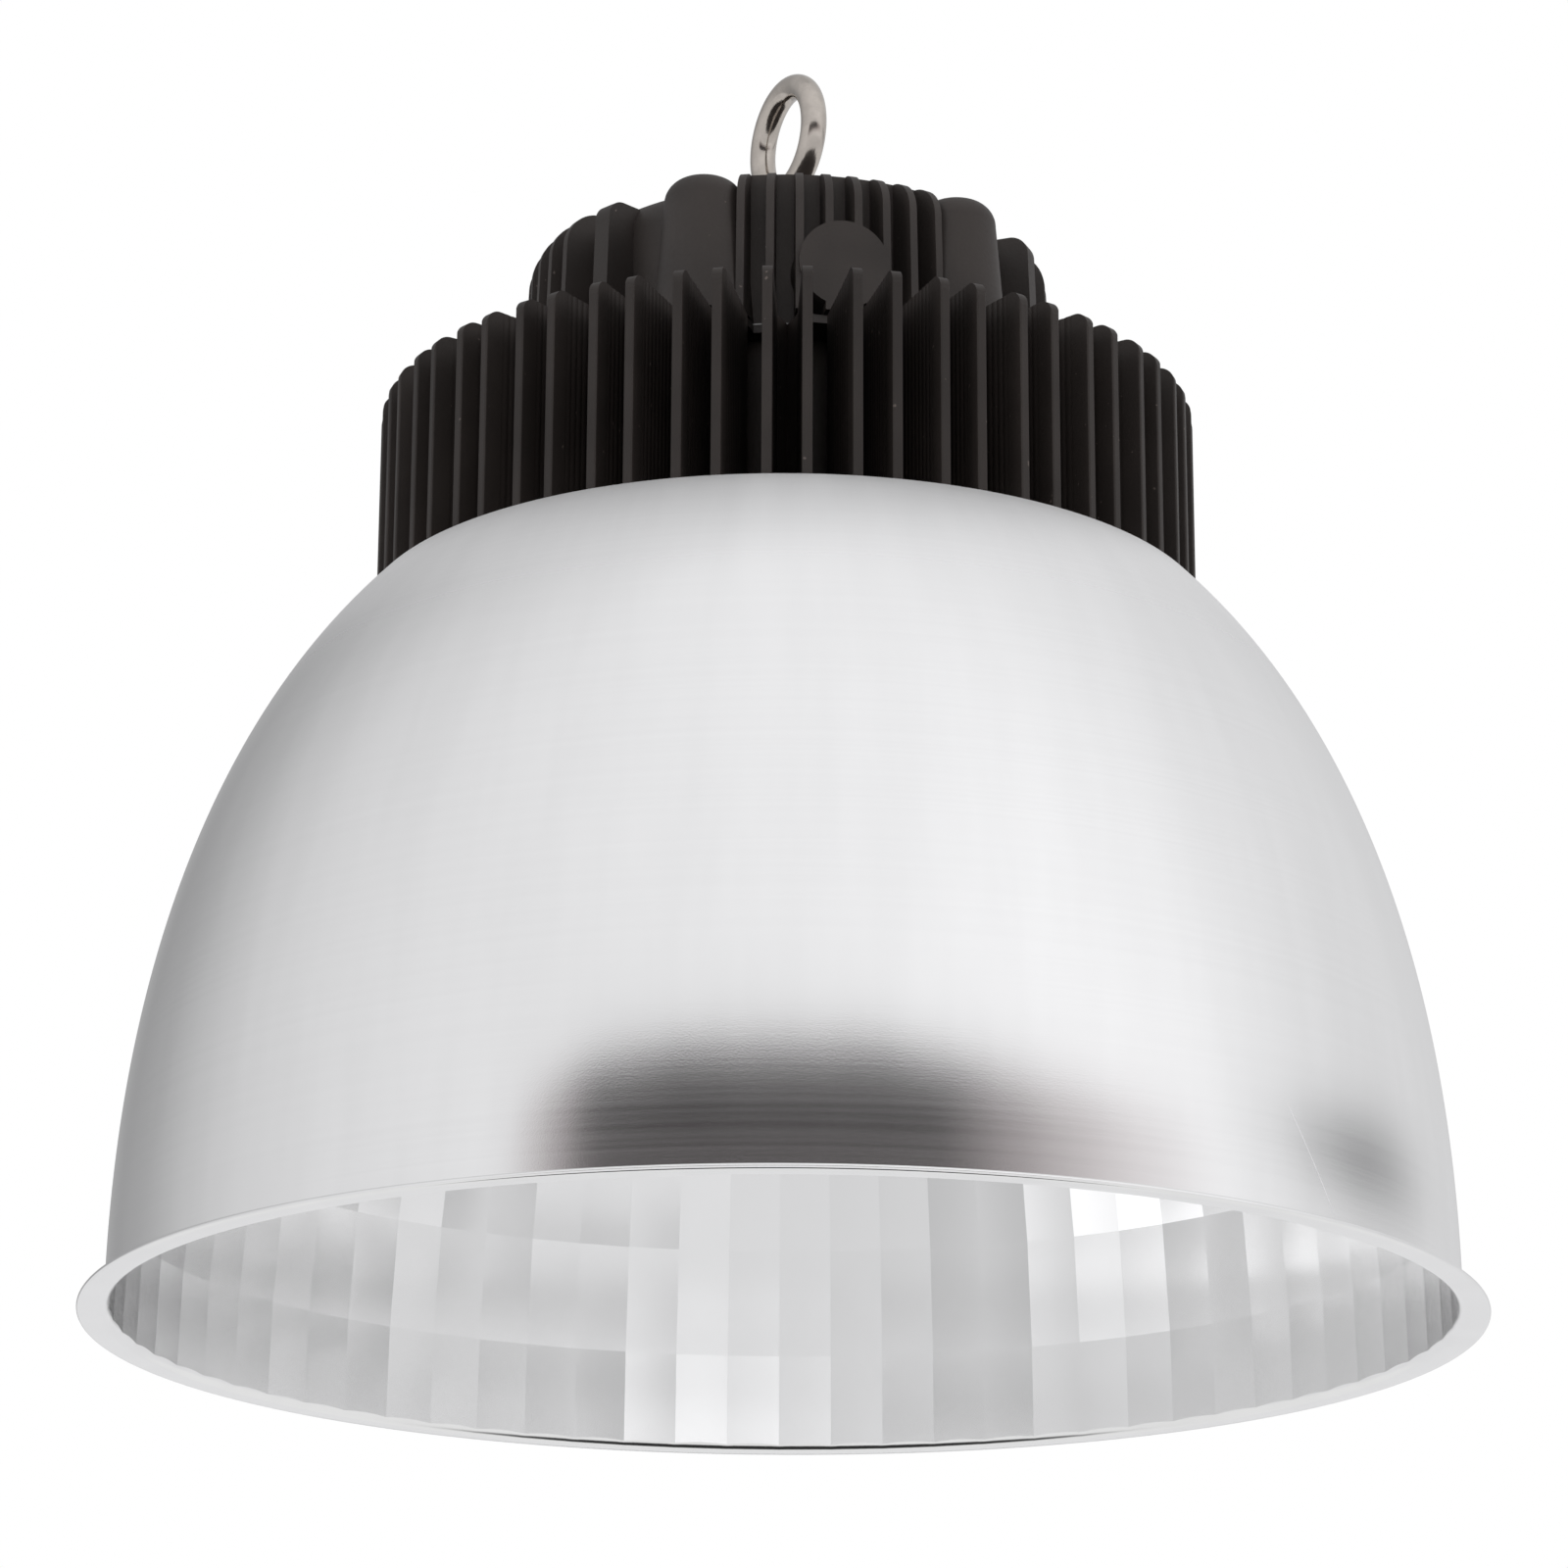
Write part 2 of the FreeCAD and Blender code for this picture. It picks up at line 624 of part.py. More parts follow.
def make_housing():
    # wall with a turned-over top, left square behind the ribs of the two cable sides
    fan_width = "2 * wall_r * sin((entry_rib_count - 1) / 2 * entry_rib_pitch)"
    slab = block(fan_width, "wall_r * 2", "housing_h", f"-({fan_width}) / 2", "-wall_r", "housing_base")
    brow = common(cylinder("wall_r", "housing_h", "housing_base"), slab)
    shapes = [rounded_post("wall_r", "0", "wall_corner"), brow]
    thick_ribs = []
    for middle in ("90", "270"):
        shapes += rib_fan(middle, "entry_rib_count", "entry_rib_pitch")
        thick_ribs += [rib(f"{middle} + {side} * thick_rib_angle", "rib_thick") for side in (-1, 1)]
    for middle in ("0", "180"):
        shapes += rib_fan(middle, "side_rib_count", "side_rib_pitch")
    # ribs trimmed by drafted envelopes with a rounded top, the thick ones a little lower
    trimmed = common(fuse(*shapes), rounded_post("rib_r", "housing_draft", "housing_corner"))
    low_ribs = common(fuse(*thick_ribs),
                      rounded_post("rib_r", "housing_draft", "thick_rib_corner", "thick_rib_drop"))
    lobes = [placed(rounded_post("lobe_r", "lobe_draft", "lobe_corner", "lobe_drop"), x, y)
             for x, y in lobe_spots()]
    # round cable bosses front and back, the front one left blank, each with a flat face
    boss_h = "boss_face - wall_r + rib_root"
    bosses = [along_y(cylinder("boss_r", boss_h, "boss_z", y=y)) for y in ("-boss_face", "wall_r - rib_root")]
    faced = [along_y(cylinder("boss_r", "rib_r", "boss_z", y=y)) for y in ("-boss_face - rib_r", "boss_face")]
    crown = cylinder("crown_boss_r", "crown_boss_h + housing_top", "cavity_top")
    shell = fuse(trimmed, low_ribs, crown, *lobes, *bosses)
    lean = "(cavity_top - housing_base) * tan(housing_draft)"
    cavity = turned_body([("0", "housing_base"), ("cavity_r", "housing_base"),
                          (f"cavity_r - {lean}", "cavity_top"), ("0", "cavity_top")])
    eye_hole = cylinder("eye_wire_r + hole_gap", "housing_top + crown_boss_h", "cavity_top")
    gland_hole = along_y(cylinder("gland_thread_r + thread_gap", "boss_face", "boss_z"))
    bores = [cylinder("screw_big + hole_gap", "housing_h", "housing_base", x, y) for x, y in lobe_spots()]
    bores += [cylinder("screw_big_head + hole_gap", "lobe_bore_depth", "lobe_seat", x, y)
              for x, y in lobe_spots()]
    node(cut(shell, cavity, eye_hole, gland_hole, *bores, *faced), "driver_housing")
    gasket_r = "min(wall_r; lobe_circle - screw_big - hole_gap)"
    node(ring(gasket_r, "cavity_r", "gasket_thick", "plate_top"), "housing_gasket")
    lobe_screws = [lobe_screw(x, y) for x, y in lobe_spots()]
    group = doc.addObject("Part::Compound", "housing_screws")
    group.Links = lobe_screws
    node(group, "housing_screws")


def lobe_screw(x, y):
    end = "sink_top + slip_gap"
    shank = cylinder("screw_big", f"lobe_seat - ({end})", end, x, y)
    return fuse(shank, cylinder("screw_big_head", "screw_big_head_h", "lobe_seat", x, y))


def make_driver():
    x, y = "driver_off_x - driver_x / 2", "driver_off_y - driver_y / 2"
    case = doc.addObject("Part::Fillet", "case")
    case.Base = block("driver_x", "driver_y", "driver_z", x, y, "plate_top")
    doc.recompute()
    upright = [i for i, edge in enumerate(case.Base.Shape.Edges, start=1) if edge.BoundBox.ZLength > 1]
    case.Edges = [(i, value("driver_edge"), value("driver_edge")) for i in upright]
    ears = block("ear_width", "driver_y + ear_reach * 2", "ear_thick", "driver_off_x - ear_width / 2",
                 f"{y} - ear_reach", "plate_top")
    screw_holes = [cylinder("screw_mid + hole_gap", "ear_thick", "plate_top", x, y) for x, y in ear_spots()]
    node(cut(fuse(case, ears), *screw_holes), "driver_unit")
    reach = "driver_y / 2 + ear_reach / 2"
    pair = screws("driver_screws", "2", reach, "90", "plate_top + ear_thick", "ear_thick + plate_thick",
                  "screw_mid", False)
    bind(pair, "Placement.Base.x", "driver_off_x")
    bind(pair, "Placement.Base.y", "driver_off_y")
    strip = block("terminal_x", "terminal_y", "terminal_z", "terminal_off_x - terminal_x / 2",
                  "terminal_off_y - terminal_y / 2", "plate_top")
    ways = int(value("terminal_ways"))
    bored = [along_y(cylinder("terminal_way_r", "terminal_y", "plate_top + terminal_z / 2",
                              f"terminal_off_x + ({i} - ({ways} - 1) / 2) * terminal_x / ({ways} + 1)",
                              "terminal_off_y - terminal_y / 2")) for i in range(ways)]
    for x, y in terminal_spots():
        bored.append(cylinder("screw_small + hole_gap", "terminal_z", "plate_top", x, y))
    node(cut(strip, *bored), "terminal_block")
    pair = screws("terminal_block_screws", "2", "terminal_screw_half", "0", "plate_top + terminal_z",
                  "terminal_z + plate_thick", "screw_small", False)
    bind(pair, "Placement.Base.x", "terminal_off_x")
    bind(pair, "Placement.Base.y", "terminal_off_y")
    head = cylinder("screw_mid_head", "screw_mid_head_h", "plate_top", *earth_spot())
    node(fuse(head, cylinder("screw_mid", "plate_thick", "sink_top", *earth_spot())), "earth_screw")


def make_eye():
    hoop = doc.addObject("Part::Torus", "hoop")
    bind(hoop, "Radius1", "eye_ring_r")
    bind(hoop, "Radius2", "eye_wire_r")
    turn = math.radians(value("eye_turn"))
    hoop.Placement.Rotation = FreeCAD.Rotation(FreeCAD.Vector(-math.sin(turn), math.cos(turn), 0), 90)
    placed(hoop, z="eye_z")
    tail = "cavity_top - eye_tail"
    shank = cylinder("eye_wire_r", f"eye_z - eye_ring_r - ({tail})", tail)
    node(fuse(hoop, shank), "hanging_eye")
    hole = "eye_wire_r + thread_gap"
    washers = (("eye_washer", "eye_seat"), ("eye_inner_washer", "cavity_top - washer_thick"))
    for name, z in washers:
        node(ring("washer_r", hole, "washer_thick", z), name)
    nuts = (("eye_lock_nut", "eye_seat + washer_thick"),
            ("eye_inner_nut", "cavity_top - washer_thick - nut_h"))
    for name, z in nuts:
        node(cut(hexagon("nut_flats", "nut_h", z), cylinder(hole, "nut_h", z)), name)


def make_gland():
    inner_end = "boss_face - gland_thread_length"
    thread = along_y(cylinder("gland_thread_r", "gland_thread_length", "boss_z", y=inner_end))
    flange = placed(along_y(hexagon("gland_flats", "gland_flange", "0")), y="boss_face", z="boss_z")
    neck = along_y(cylinder("gland_neck_r", "gland_neck", "boss_z", y="gland_seat"))
    inside = "gland_thread_length + gland_flange + gland_neck"
    bore = along_y(cylinder("gland_bore_r", inside, "boss_z", y=inner_end))
    pocket = along_y(cylinder("gland_seal_r", "gland_neck", "boss_z", y="gland_seat"))
    node(cut(fuse(thread, flange, neck), bore, pocket), "gland_body")
    seal = along_y(cylinder("gland_seal_r", "gland_neck", "boss_z", y="gland_seat"))
    node(cut(seal, along_y(cylinder("cable_r", "gland_neck", "boss_z", y="gland_seat"))), "gland_seal")
    cap = along_y(cylinder("gland_cap_r", "gland_neck + gland_cap_end", "boss_z", y="gland_seat"))
    socket = along_y(cylinder("gland_neck_r + thread_gap", "gland_neck", "boss_z", y="gland_seat"))
    mouth = along_y(cylinder("gland_bore_r", "gland_neck + gland_cap_end", "boss_z", y="gland_seat"))
    node(cut(cap, socket, mouth), "gland_cap")


make_reflector()
make_heat_sink()
make_light_source()
make_leads()
make_base_plate()
make_housing()
make_driver()
make_eye()
make_gland()
doc.recompute()

failed = [item.Label for item in doc.Objects if {"Invalid", "Error"} & set(item.State)]
failed += [name for name, item in nodes.items() if item.Shape.isNull() or not item.Shape.isValid()]
if failed:
    raise SystemExit("these failed: " + ", ".join(failed))

os.makedirs("parts", exist_ok=True)
for name, item in nodes.items():
    item.Shape.exportStep(f"parts/{name}.step")
print(len(nodes), "sub-parts written")
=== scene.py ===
import json
import math
import bpy
import numpy as np
from mathutils import Matrix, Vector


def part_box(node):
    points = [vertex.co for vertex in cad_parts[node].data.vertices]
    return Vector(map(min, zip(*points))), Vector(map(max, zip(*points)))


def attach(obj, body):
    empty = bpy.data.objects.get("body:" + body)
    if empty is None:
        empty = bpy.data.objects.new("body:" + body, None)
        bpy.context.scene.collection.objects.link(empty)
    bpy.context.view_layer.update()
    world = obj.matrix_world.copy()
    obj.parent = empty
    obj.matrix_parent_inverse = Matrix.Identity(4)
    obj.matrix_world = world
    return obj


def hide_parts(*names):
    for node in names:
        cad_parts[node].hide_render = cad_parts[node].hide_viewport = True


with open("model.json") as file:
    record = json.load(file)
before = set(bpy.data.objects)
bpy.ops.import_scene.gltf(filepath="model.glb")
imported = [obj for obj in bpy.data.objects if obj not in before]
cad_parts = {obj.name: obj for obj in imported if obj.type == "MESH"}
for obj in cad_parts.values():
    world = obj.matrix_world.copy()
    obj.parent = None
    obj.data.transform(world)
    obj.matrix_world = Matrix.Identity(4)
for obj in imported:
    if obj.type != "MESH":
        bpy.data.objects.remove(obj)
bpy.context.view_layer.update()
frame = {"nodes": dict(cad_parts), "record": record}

print("frame loaded:", len(frame["nodes"]), "nodes")


# Meshes

def gridQuads(rows, columns, closeRows=False, closeColumns=False):
    # four point numbers for each cell of a grid numbered row by row, wrapping round where asked
    i = np.arange(rows if closeRows else rows - 1)[:, None]
    j = np.arange(columns if closeColumns else columns - 1)[None, :]
    nextRow, nextColumn = (i + 1) % rows, (j + 1) % columns
    cells = [i * columns + j, i * columns + nextColumn,
             nextRow * columns + nextColumn, nextRow * columns + j]
    return np.stack(np.broadcast_arrays(*cells), -1).reshape(-1, 4)


def repeatQuads(quads, copies, size):
    # the same quads for each copy of a shape of that many points
    return (quads[None] + (np.arange(copies) * size)[:, None, None]).reshape(-1, 4)


def joinParts(parts):
    # puts several (points, quads) together, moving each part's point numbers along
    counts = np.cumsum([0] + [len(points) for points, quads in parts])
    points = np.concatenate([points for points, quads in parts])
    quads = np.concatenate([quads + count for (points, quads), count in zip(parts, counts)])
    return points, quads


def withHeight(plan, height):
    # flat (x, y) points get their z
    return np.concatenate([plan, np.broadcast_to(height, plan.shape[:-1] + (1,))], -1)


def ramp(value, start, span):
    # 0 at start, 1 a span further on, straight in between; a negative span runs downwards
    return np.clip((value - start) / span, 0, 1)


def arcPoints(centre, radius, start, end, count):
    # points along a circle in the (r, z) plane between two angles in degrees
    turn = np.radians(np.linspace(start, end, count))
    return np.stack([centre[0] + radius * np.cos(turn), centre[1] + radius * np.sin(turn)], -1)


def buildPiece(name, node, points, quads, smooth, extras):
    # the arrays become a mesh in metres, which rides on the root and stands for the CAD node
    mesh = bpy.data.meshes.new(name)
    mesh.vertices.add(len(points))
    mesh.vertices.foreach_set("co", points.astype(np.float32).ravel())
    mesh.loops.add(quads.size)
    mesh.loops.foreach_set("vertex_index", quads.astype(np.int32).ravel())
    mesh.polygons.add(len(quads))
    mesh.polygons.foreach_set("loop_start", np.arange(0, quads.size, 4, dtype=np.int32))
    for key, data in extras.items():
        mesh.attributes.new(key, "FLOAT", "POINT").data.foreach_set("value", data.astype(np.float32))
    mesh.update(calc_edges=True)
    mesh.polygons.foreach_set("use_smooth", smooth)
    piece = bpy.data.objects.new(name, mesh)
    bpy.context.scene.collection.objects.link(piece)
    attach(piece, "root")
    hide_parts(node)
    print("made", name, len(quads), "quads")
    return piece


# Reflector

bell = {"mouth": 0.1972, "rim": 0.205, "crown": 0.219, "shoulder": 0.1274, "wall": 0.0015, "hole": 0.0515,
        "powerZ": 2.17, "powerR": 2.49, "shoulderBend": 0.0025, "rimBend": 0.0015,
        "lipInset": 0.0001, "bendInset": 0.0003, "bendEnd": 217, "bendGap": 0.0004, "slopeStep": 1e-5,
        "facets": 72, "facetTurn": 3.4, "facetFirst": 0.031, "facetRows": 6, "facetLean": 0.13,
        "stepsPerFacet": 6, "lipSteps": 13, "edgeSteps": 9, "bendSteps": 7, "domeSteps": 60,
        "stripShare": 0.75, "seed": 7}


def domeRadius(z):
    # superellipse: mouth radius times (1 - (z / pole)^powerZ)^(1 / powerR)
    share = (bell["shoulder"] / bell["mouth"]) ** bell["powerR"]
    pole = bell["crown"] / (1 - share) ** (1 / bell["powerZ"])
    return bell["mouth"] * (1 - (z / pole) ** bell["powerZ"]) ** (1 / bell["powerR"])


def lipGrid(chord):
    # the lip is a quarter circle that opens downwards; each flat facet runs out on it in a scallop
    corner, lip = bell["mouth"] - bell["wall"], bell["wall"] + bell["rimBend"]
    mouthIn = corner * np.cos(np.pi / bell["facets"]) - bell["lipInset"]
    start = np.arccos(1 - (corner * chord - mouthIn) / lip)
    sweep = start + np.linspace(0, 1, bell["lipSteps"])[:, None] * (np.pi / 2 - start)
    return mouthIn + lip * (1 - np.cos(sweep)), lip * (1 - np.sin(sweep))


def outerSection():
    # radius and height from the lip's foot round the flange, up the bell and in over the crown to the hole
    wall, crownZ, turn, edge = bell["wall"], bell["crown"], bell["shoulderBend"], bell["wall"] / 2
    flange = arcPoints((bell["rim"] - edge, edge), edge, -90, 90, bell["edgeSteps"])
    bendCentre = (bell["mouth"] + bell["rimBend"] - bell["bendInset"], wall + bell["rimBend"])
    bend = arcPoints(bendCentre, bell["rimBend"], 270, bell["bendEnd"], bell["bendSteps"])
    slope = (domeRadius(crownZ) - domeRadius(crownZ - bell["slopeStep"])) / bell["slopeStep"]
    up = -slope / np.hypot(1, slope)                         # how far the bell's side looks up at the crown
    shoulderR = bell["shoulder"] + turn * (up - 1) / np.sqrt(1 - up ** 2)
    shoulder = arcPoints((shoulderR, crownZ - turn), turn, np.degrees(np.arcsin(up)), 90, bell["edgeSteps"])
    height = np.linspace(bend[-1, 1] + bell["bendGap"], shoulder[0, 1], bell["domeSteps"] + 1)[:-1]
    dome = np.stack([domeRadius(height), height], -1)
    hole = np.array([[bell["hole"], crownZ], [bell["hole"], crownZ - wall]])
    return np.concatenate([flange, bend, dome, shoulder, hole])


def facetGrid(scallop):
    # each row of flat facets joins two many-sided sections, and each facet has its own points so that its
    # edges stay sharp; the rows' heights run with share * (1 + lean * (1 - share)), and the first row
    # starts on the lip
    count, steps, rows = bell["facets"], bell["stepsPerFacet"], bell["facetRows"] + 1
    share = np.arange(bell["facetRows"]) / bell["facetRows"]
    first, last = bell["facetFirst"], bell["crown"] - bell["wall"]
    spread = share * (1 + bell["facetLean"] * (1 - share))
    levels = np.concatenate([[0], first + (last - first) * spread, [last]])
    cornerR = (domeRadius(levels) - bell["wall"])[:, None, None, None]
    footZ = np.repeat(levels[:-1, None], steps + 1, 1)
    footZ[0] = scallop
    headZ = np.repeat(levels[1:, None], steps + 1, 1)
    turn = np.radians(bell["facetTurn"]) + np.arange(count) * 2 * np.pi / count
    left = np.stack([np.cos(turn), np.sin(turn)], -1)
    right = np.roll(left, -1, 0)
    across = np.linspace(0, 1, steps + 1)[:, None]
    plan = (left[:, None] * (1 - across) + right[:, None] * across)[None]
    foot = withHeight(plan * cornerR[:-1], footZ[:, None, :, None])
    head = withHeight(plan * cornerR[1:], headZ[:, None, :, None])
    size = 2 * (steps + 1)
    points = np.stack([foot, head], 2).reshape(-1, 3)
    quads = repeatQuads(gridQuads(2, steps + 1)[:, ::-1], rows * count, size)
    draw = np.random.default_rng(bell["seed"])
    strip = np.tile(draw.random(count), rows)                # each upright strip has a shade of its own
    tone = bell["stripShare"] * strip + (1 - bell["stripShare"]) * draw.random(rows * count)
    return points, quads, np.repeat(tone, size)


def makeReflector():
    # shell: the section carried round the axis, from the lip over the outside to the underside of the crown
    count, steps = bell["facets"], bell["stepsPerFacet"]
    spot = np.arange(count * steps)
    angle = np.radians(bell["facetTurn"]) + spot * 2 * np.pi / (count * steps)
    inFacet = (spot % steps / steps - 0.5) * 2 * np.pi / count
    chord = np.cos(np.pi / count) / np.cos(inFacet)          # a facet's radius as a share of its corner's
    lipR, lipZ = lipGrid(chord)
    outR, outZ = [np.repeat(line[:, None], count * steps, 1) for line in outerSection().T]
    underZ = bell["crown"] - bell["wall"]
    underR = ((domeRadius(underZ) - bell["wall"]) * chord)[None]
    allR = np.concatenate([lipR, outR, underR])
    allZ = np.concatenate([lipZ, outZ, np.full_like(underR, underZ)])
    shell = np.stack([allR * np.cos(angle), allR * np.sin(angle), allZ], -1).reshape(-1, 3)
    shellQuads = gridQuads(len(allR), count * steps, closeColumns=True)
    facets, facetQuads, tone = facetGrid(lipZ[0, np.r_[0:steps, 0]])
    points, quads = joinParts([(shell, shellQuads), (facets, facetQuads)])
    blank = np.zeros(len(shell))
    extras = {"inside": np.concatenate([blank, np.ones(len(facets))]),
              "tone": np.concatenate([blank, tone])}
    smooth = np.arange(len(quads)) < len(shellQuads)
    return buildPiece("reflectorBell", "reflector", points, quads, smooth, extras)


# Heat sink

fins = {"pairs": 30, "tip": 0.1245, "bottom": 0.219, "top": 0.285, "thick": 0.003, "corner": 0.005,
        "edge": 0.0005, "core": 0.064, "coreSteps": 180, "fork": 0.073, "elbow": 0.084, "elbowHalf": 0.0044,
        "tipHalf": 0.00578, "rootInset": 0.003, "rootSteps": 12, "steps": 150, "axisGap": 1e-5,
        "ripple": 0.00022, "ripplePitch": 0.0026, "rippleStart": 0.092, "rippleRise": 0.004,
        "rippleStop": 0.006, "rippleFall": 0.002}


def makeHeatSink():
    # one arm: a strip of box sections carried along its centre line from the core out to the tip, its two
    # sides waved by a sine of the distance out, its outer top corner turned down on a quarter circle
    root = np.linspace(fins["core"] - fins["rootInset"], fins["elbow"], fins["rootSteps"])
    out = np.concatenate([root, np.linspace(fins["elbow"], fins["tip"], fins["steps"])[1:]])
    centre = np.interp(out, [fins["core"], fins["fork"], fins["elbow"], fins["tip"]],
                       [0, 0, fins["elbowHalf"], fins["tipHalf"]])
    rippled = ramp(out, fins["rippleStart"], fins["rippleRise"])
    rippled = rippled * ramp(out, fins["tip"] - fins["rippleStop"], -fins["rippleFall"])
    wave = np.abs(np.sin(np.pi * (out - fins["rippleStart"]) / fins["ripplePitch"]))
    fromTip = fins["tip"] - out
    inEdge = np.maximum(fins["edge"] - fromTip, 0)
    ease = fins["edge"] - np.sqrt(np.maximum(fins["edge"] ** 2 - inEdge ** 2, 0))
    half = fins["thick"] / 2 - ease - fins["ripple"] * rippled * (1 - wave)
    inCorner = np.clip(fins["corner"] - fromTip, 0, fins["corner"])
    top = fins["top"] - fins["corner"] + np.sqrt(fins["corner"] ** 2 - inCorner ** 2)
    bottom = np.full_like(out, fins["bottom"])
    # section corners: right low, right high, left high, left low
    sideways = np.stack([centre + half, centre + half, centre - half, centre - half], -1)
    upward = np.stack([bottom, top, top, bottom], -1)
    outward = np.repeat(out[:, None], 4, 1)
    arm = np.stack([sideways, outward, upward], -1)
    fork = np.stack([arm * [-1, 1, 1], arm]).reshape(-1, 3)
    tipQuad = (len(out) - 1) * 4 + np.array([[0, 1, 2, 3]])
    rootQuad = np.array([[3, 2, 1, 0]])
    armQuads = np.concatenate([gridQuads(len(out), 4, closeColumns=True), tipQuad, rootQuad])
    forkQuads = np.concatenate([armQuads[:, ::-1], armQuads + len(out) * 4])
    # the fork of two arms is turned about the axis in equal steps
    turn = np.arange(fins["pairs"]) * 2 * np.pi / fins["pairs"]
    toX = np.stack([np.cos(turn), -np.sin(turn)], -1)
    toY = np.stack([np.sin(turn), np.cos(turn)], -1)
    turned = np.einsum("kij,nj->kni", np.stack([toX, toY], 1), fork[:, :2])
    finPoints = withHeight(turned, fork[None, :, 2:]).reshape(-1, 3)
    finQuads = repeatQuads(forkQuads, fins["pairs"], len(fork))
    # the core is a solid round: its section carried once about the axis
    around = np.arange(fins["coreSteps"]) * 2 * np.pi / fins["coreSteps"]
    ring = np.array([[fins["axisGap"], fins["bottom"]], [fins["core"], fins["bottom"]],
                     [fins["core"], fins["top"]], [fins["axisGap"], fins["top"]]])
    plan = np.stack([ring[:, :1] * np.cos(around), ring[:, :1] * np.sin(around)], -1)
    core = withHeight(plan, ring[:, None, 1:]).reshape(-1, 3)
    coreQuads = gridQuads(len(ring), len(around), closeRows=True, closeColumns=True)
    points, quads = joinParts([(finPoints, finQuads), (core, coreQuads)])
    smooth = np.zeros(len(quads), bool)
    return buildPiece("heatSinkFins", "heat_sink", points, quads, smooth, {})


# Hanging eye

eye = {"centre": 0.3793, "ring": 0.017, "wire": 0.004, "turn": 16.0, "pitch": 0.00125,
       "threadDepth": 0.0005, "threadEnd": 0.3575, "ringSteps": 96, "wireSteps": 48, "stepsPerPitch": 8,
       "axisGap": 1e-5}


def makeEye():
    # ring: a circle of wire carried round an upright circle about the eye's centre
    along = np.arange(eye["ringSteps"])[:, None] * 2 * np.pi / eye["ringSteps"]
    section = np.arange(eye["wireSteps"])[None] * 2 * np.pi / eye["wireSteps"]
    reach = eye["ring"] + eye["wire"] * np.cos(section)
    turn = np.radians(eye["turn"])
    level, side = reach * np.cos(along), eye["wire"] * np.sin(section) + 0 * along
    hoop = np.stack([side * np.cos(turn) - level * np.sin(turn), side * np.sin(turn) + level * np.cos(turn),
                     eye["centre"] + reach * np.sin(along)], -1).reshape(-1, 3)
    hoopQuads = gridQuads(eye["ringSteps"], eye["wireSteps"], closeRows=True, closeColumns=True)
    # shank: its radius is cut by a triangle wave of height over pitch less turn, which makes the thread
    foot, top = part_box("hanging_eye")[0][2], eye["centre"] - eye["ring"]
    rows = int((top - foot) / eye["pitch"] * eye["stepsPerPitch"])
    z = np.concatenate([[foot], np.linspace(foot, top, rows), [top]])[:, None]
    wave = np.abs(2 * ((z / eye["pitch"] - section / (2 * np.pi)) % 1) - 1)
    cut = ramp(z, eye["threadEnd"], -eye["pitch"]) * ramp(z, foot, eye["pitch"])
    radius = eye["wire"] - eye["threadDepth"] * wave * cut
    radius[[0, -1]] = eye["axisGap"]
    plan = np.stack([radius * np.cos(section), radius * np.sin(section)], -1)
    shank = withHeight(plan, z[..., None]).reshape(-1, 3)
    shankQuads = gridQuads(len(z), eye["wireSteps"], closeRows=True, closeColumns=True)
    points, quads = joinParts([(hoop, hoopQuads), (shank, shankQuads)])
    smooth = np.ones(len(quads), bool)
    return buildPiece("hangingEye", "hanging_eye", points, quads, smooth, {})


# Finishes

class Wire:
    # a node socket that takes part in sums: each operator adds a Math node
    def __init__(self, tree, socket=None):
        self.tree, self.socket = tree, socket

    def node(self, kind, settings, sockets, out=0):
        # any node: its settings first, then the values or wires of its sockets
        made = self.tree.nodes.new(kind)
        for key, setting in settings.items():
            setattr(made, key, setting)
        for key, given in sockets.items():
            if isinstance(given, Wire):
                self.tree.links.new(given.socket, made.inputs[key])
            else:
                made.inputs[key].default_value = given
        return None if out is None else Wire(self.tree, made.outputs[out])

    def math(self, operation, *given):
        return self.node("ShaderNodeMath", {"operation": operation}, dict(enumerate(given)))

    def __add__(self, other):
        return self.math("ADD", self, other)

    def __sub__(self, other):
        return self.math("SUBTRACT", self, other)

    def __rsub__(self, other):
        return self.math("SUBTRACT", other, self)

    def __mul__(self, other):
        return self.math("MULTIPLY", self, other)

    def __truediv__(self, other):
        return self.math("DIVIDE", self, other)

    def __rtruediv__(self, other):
        return self.math("DIVIDE", other, self)

    __radd__ = __add__
    __rmul__ = __mul__

    def between(self, low, high):
        # 0 below low, 1 above high, smooth in between
        return self.node("ShaderNodeMapRange", {"interpolation_type": "SMOOTHSTEP"},
                         {"Value": self, "From Min": low, "From Max": high})

    def combine(self, x, y, z):
        return self.node("ShaderNodeCombineXYZ", {}, {"X": x, "Y": y, "Z": z})

    def noise(self, vector, scale, detail=2.0, rough=0.5):
        sockets = {"Vector": vector, "Scale": scale, "Detail": detail, "Roughness": rough}
        return self.node("ShaderNodeTexNoise", {}, sockets, "Fac")

    def attribute(self, name, out):
        return self.node("ShaderNodeAttribute", {"attribute_name": name}, {}, out)

    def ray(self, out):
        return self.node("ShaderNodeLightPath", {}, {}, out)

    def colour(self, factor, first, second):
        return self.node("ShaderNodeMix", {"data_type": "RGBA"}, {0: factor, 6: first, 7: second}, 2)

    def bump(self, height, strength, distance):
        sockets = {"Height": height, "Strength": strength, "Distance": distance}
        return self.node("ShaderNodeBump", {}, sockets, "Normal")


def grey(level, warm=0.0, lessBlue=0.4):
    # a warm grey has more red and, by a share of that, less blue
    return (level * (1 + warm), level, level * (1 - warm * lessBlue), 1.0)


def darker(colour, share):
    return tuple(channel * share for channel in colour[:3]) + (1.0,)


